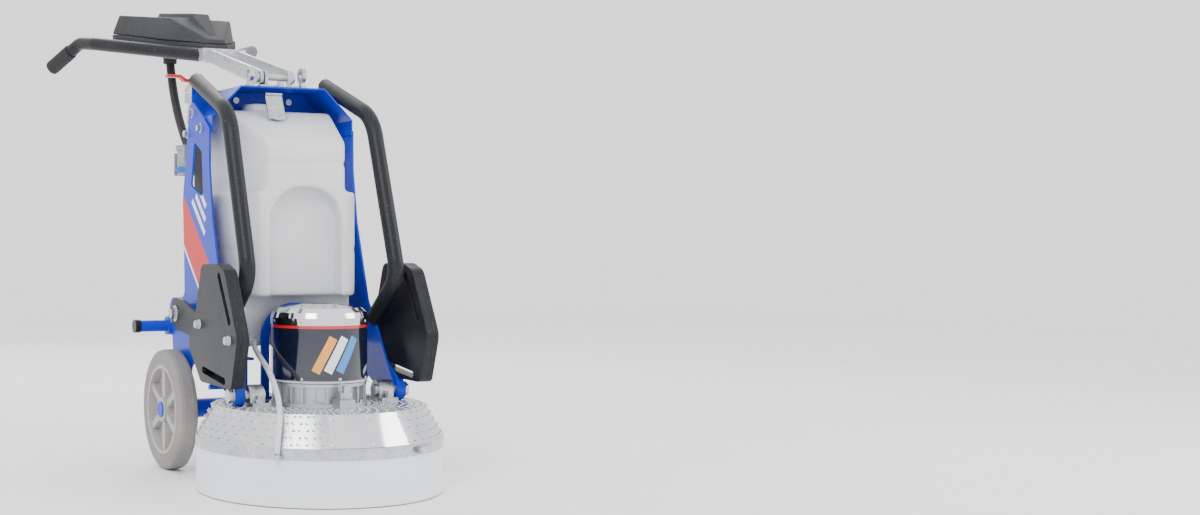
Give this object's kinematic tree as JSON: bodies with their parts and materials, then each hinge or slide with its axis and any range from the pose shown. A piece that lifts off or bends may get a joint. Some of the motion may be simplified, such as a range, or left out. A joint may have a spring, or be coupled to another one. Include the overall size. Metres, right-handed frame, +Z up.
{
  "type": "planetary floor grinder",
  "caption": "Walk-behind floor grinder: three planetary diamond tools under a skirted head, tilting handle with console, swinging side weights, two wheels and a water tank.",
  "frame": {"origin": "on the floor, under the middle of the machine in length and width", "axes": "+Z up, +Y towards the operator (handle), +X to the right when seen from the front"},
  "size_m": [0.6824, 1.4933, 1.243],
  "materials": {
    "blue_paint": "glossy powder coat",
    "black_coat": "satin powder coat",
    "zinc": "galvanised",
    "steel": "machined",
    "tread_plate": "bright tread plate",
    "chrome": "polished",
    "white_skirt": "smooth matt",
    "tank_plastic": "rotomoulded matt",
    "cowl_gloss": "high gloss",
    "cast_alloy": "cast",
    "console_plastic": "fine grain",
    "grip_rubber": "matt",
    "tyre_rubber": "solid grey rubber",
    "rim_plastic": "satin",
    "shoe_blue": "semi-gloss",
    "nickel": "nickel plated",
    "red_plastic": "gloss",
    "green_plastic": "gloss",
    "inlet_plastic": "matt",
    "cable_rubber": "matt",
    "hose_clear": "translucent"
  },
  "bodies": {
    "chassis": {"side_plate_left": "blue_paint", "side_plate_right": "blue_paint", "top_cover": "blue_paint", "axle_tube": "blue_paint", "rear_bar": "blue_paint", "water_tank": "tank_plastic", "tank_latch": "zinc", "grip_bar_left": "black_coat", "grip_bar_right": "black_coat", "electric_box": "console_plastic", "power_inlet": "inlet_plastic", "lifting_eyes": "zinc", "frame_brackets": "zinc", "frame_bolts": "zinc", "valve_body": "nickel", "control_cable": "cable_rubber"},
    "valve": {"valve_lever": "red_plastic"},
    "handle": {"handle_arms": "zinc", "handle_tube_left": "black_coat", "handle_tube_right": "black_coat", "console_tray": "console_plastic", "console_hood": "console_plastic", "hand_grip_left": "grip_rubber", "hand_grip_right": "grip_rubber", "cable_gland": "console_plastic"},
    "stop_button": {"emergency_stop": "red_plastic"},
    "knob": {"speed_knob": "inlet_plastic"},
    "green_button": {"start_button": "green_plastic"},
    "weight_left": {"weight_arm_left": "black_coat", "weight_plates_left": "black_coat"},
    "weight_right": {"weight_arm_right": "black_coat", "weight_plates_right": "black_coat"},
    "wheel_left": {"tyre_left": "tyre_rubber", "rim_left": "rim_plastic"},
    "wheel_right": {"tyre_right": "tyre_rubber", "rim_right": "rim_plastic"},
    "head": {"skirt": "white_skirt", "cover_band": "zinc", "head_cover": "tread_plate", "front_panel": "chrome", "gear_case": "steel", "motor_housing": "cast_alloy", "motor_cowl": "cowl_gloss", "fan_cover": "chrome", "motor_guard": "blue_paint", "vacuum_port": "console_plastic", "trunnion_left": "zinc", "trunnion_right": "zinc", "water_hose": "hose_clear"},
    "rotor": {"motor_rotor": "steel"},
    "carrier": {"carrier_plate": "zinc"},
    "tool_1": {"spindle_1": "steel", "tool_plate_1": "steel", "tool_shoes_1": "shoe_blue"},
    "tool_2": {"spindle_2": "steel", "tool_plate_2": "steel", "tool_shoes_2": "shoe_blue"},
    "tool_3": {"spindle_3": "steel", "tool_plate_3": "steel", "tool_shoes_3": "shoe_blue"}
  },
  "joints": [
    {"name": "handle_tilt", "type": "hinge", "parent": "chassis", "child": "handle", "pos_m": [0, -0.19816, 0.978], "axis": [1, 0, 0], "range_deg": [-12, 55], "deforming": ["control_cable"]},
    {"name": "valve_turn", "type": "hinge", "parent": "chassis", "child": "valve", "pos_m": [-0.176, -0.08416, 0.974], "axis": [0, 0, -1], "range_deg": [0, 90]},
    {"name": "emergency_stop_push", "type": "slide", "parent": "handle", "child": "stop_button", "axis": [0, -1, 0], "range_m": [0, 0.008], "stiffness_N_per_m": 900, "springref_m": -0.004},
    {"name": "start_button_push", "type": "slide", "parent": "handle", "child": "green_button", "axis": [0, -1, 0], "range_m": [0, 0.005], "stiffness_N_per_m": 600, "springref_m": -0.003},
    {"name": "speed_knob_turn", "type": "hinge", "parent": "handle", "child": "knob", "pos_m": [0, 0.56584, 1.206], "axis": [0, 1, 0], "range_deg": [-135, 135]},
    {"name": "weight_left_swing", "type": "hinge", "parent": "chassis", "child": "weight_left", "pos_m": [-0.226, -0.11916, 0.394], "axis": [-1, 0, 0], "range_deg": [0, 150]},
    {"name": "wheel_left_spin", "type": "hinge", "parent": "chassis", "child": "wheel_left", "pos_m": [-0.223, -0.05016, 0.15], "axis": [1, 0, 0], "continuous": true},
    {"name": "weight_right_swing", "type": "hinge", "parent": "chassis", "child": "weight_right", "pos_m": [0.226, -0.11916, 0.394], "axis": [-1, 0, 0], "range_deg": [0, 150]},
    {"name": "wheel_right_spin", "type": "hinge", "parent": "chassis", "child": "wheel_right", "pos_m": [0.223, -0.05016, 0.15], "axis": [1, 0, 0], "continuous": true},
    {"name": "head_pitch", "type": "hinge", "parent": "chassis", "child": "head", "pos_m": [0, -0.46016, 0.222], "axis": [1, 0, 0], "range_deg": [-4, 4], "deforming": ["water_hose"]},
    {"name": "carrier_spin", "type": "hinge", "parent": "head", "child": "carrier", "pos_m": [0, -0.46016, 0.076], "axis": [0, 0, 1], "continuous": true},
    {"name": "rotor_spin", "type": "hinge", "parent": "head", "child": "rotor", "pos_m": [0, -0.46016, 0.3], "axis": [0, 0, 1], "continuous": true},
    {"name": "tool_1_spin", "type": "hinge", "parent": "carrier", "child": "tool_1", "pos_m": [0.162, -0.46016, 0.06], "axis": [0, 0, 1], "continuous": true},
    {"name": "tool_2_spin", "type": "hinge", "parent": "carrier", "child": "tool_2", "pos_m": [-0.081, -0.31986, 0.06], "axis": [0, 0, 1], "continuous": true},
    {"name": "tool_3_spin", "type": "hinge", "parent": "carrier", "child": "tool_3", "pos_m": [-0.081, -0.60046, 0.06], "axis": [0, 0, 1], "continuous": true}
  ],
  "couplings": [
    {"joint": "rotor_spin", "follows": "carrier_spin", "ratio": 3},
    {"joint": "tool_1_spin", "follows": "carrier_spin", "ratio": -4},
    {"joint": "tool_2_spin", "follows": "carrier_spin", "ratio": -4},
    {"joint": "tool_3_spin", "follows": "carrier_spin", "ratio": -4}
  ]
}
